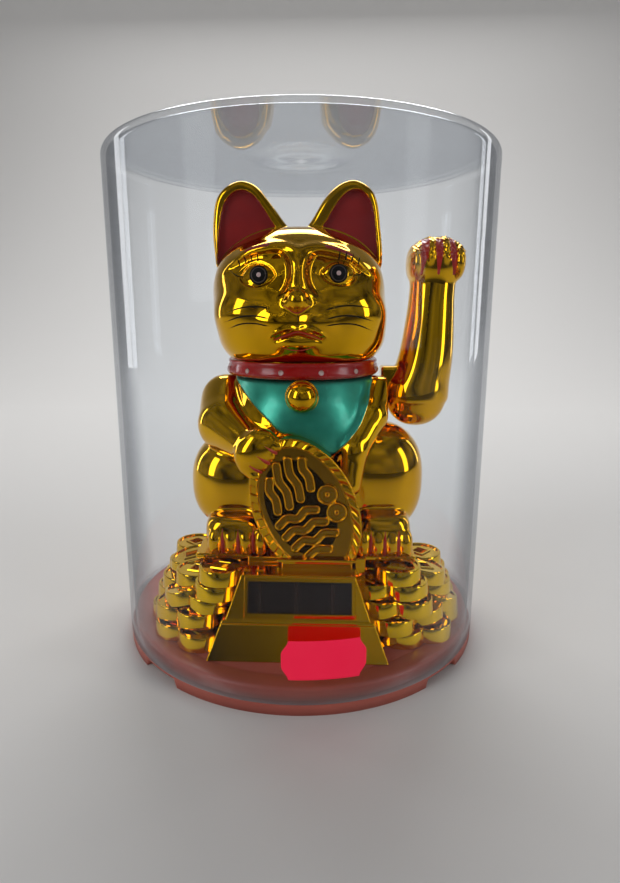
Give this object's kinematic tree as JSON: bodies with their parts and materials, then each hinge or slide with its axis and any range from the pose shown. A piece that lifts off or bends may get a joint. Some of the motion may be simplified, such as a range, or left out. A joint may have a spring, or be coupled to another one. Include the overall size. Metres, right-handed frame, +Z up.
{
  "type": "solar beckoning cat figurine",
  "caption": "Gold-plated seated cat on a coin pedestal whose raised arm swings on a solar-driven pendulum, on a round tray under a clear lift-off cover.",
  "frame": {"origin": "centre of the tray's underside, on the surface that the object stands on", "axes": "+Z up, the cat faces -Y, and its raised arm is on the +X side"},
  "size_m": [0.134, 0.1341, 0.1714],
  "materials": {
    "plated_gold": "vacuum-metallised gold plastic, mirror bright",
    "clear_plastic": "clear polystyrene, clean and glossy",
    "label_paper": "fluorescent red self-adhesive paper, blank",
    "tray_plastic": "brick-red moulded plastic, soft gloss",
    "screw_steel": "zinc-plated",
    "dark_plastic": "black, fine texture",
    "white_plastic": "natural nylon",
    "solar_glass": "amorphous silicon cell behind glass",
    "lead_insulation": "PVC insulation",
    "board_laminate": "solder mask over glass-fibre laminate",
    "copper_winding": "enamelled copper wire",
    "capacitor_sleeve": "shrink sleeve",
    "collar_red": "glossy red enamel with pale dots",
    "shaft_steel": "ground steel pin",
    "cast_weight": "plain cast weight",
    "magnet_nickel": "nickel-plated magnet"
  },
  "bodies": {
    "case": {"base_tray": "tray_plastic", "tray_screws": "screw_steel", "pedestal": "plated_gold", "coin_pile_left": "plated_gold", "coin_pile_right": "plated_gold", "bottom_plate": "dark_plastic", "base_screws": "screw_steel", "solar_cell": "solar_glass", "solar_bezel": "plated_gold", "solar_leads": "lead_insulation", "circuit_board": "board_laminate", "board_screws": "screw_steel", "coil_bobbin": "white_plastic", "drive_coil": "copper_winding", "storage_capacitor": "capacitor_sleeve", "driver_transistor": "dark_plastic", "body_front": "plated_gold", "body_rear": "plated_gold", "shell_screws": "screw_steel", "head_front": "plated_gold", "head_rear": "plated_gold", "collar": "collar_red", "bell": "plated_gold", "koban": "plated_gold", "bearing_bracket": "dark_plastic", "bracket_screws": "screw_steel"},
    "arm": {"arm_front": "plated_gold", "arm_rear": "plated_gold", "arm_shaft": "shaft_steel", "shaft_retainer": "dark_plastic", "pendulum_lever": "white_plastic", "counterweight": "cast_weight", "drive_magnet": "magnet_nickel"},
    "cover": {"clear_cover": "clear_plastic", "price_label": "label_paper"}
  },
  "joints": [
    {"name": "arm_wave", "type": "hinge", "parent": "case", "child": "arm", "pos_m": [0, 0, 0.0945], "axis": [1, 0, 0], "range_deg": [-18, 18]},
    {"name": "cover_lift", "type": "slide", "parent": "case", "child": "cover", "axis": [0, 0, 1], "range_m": [0, 0.17]}
  ]
}
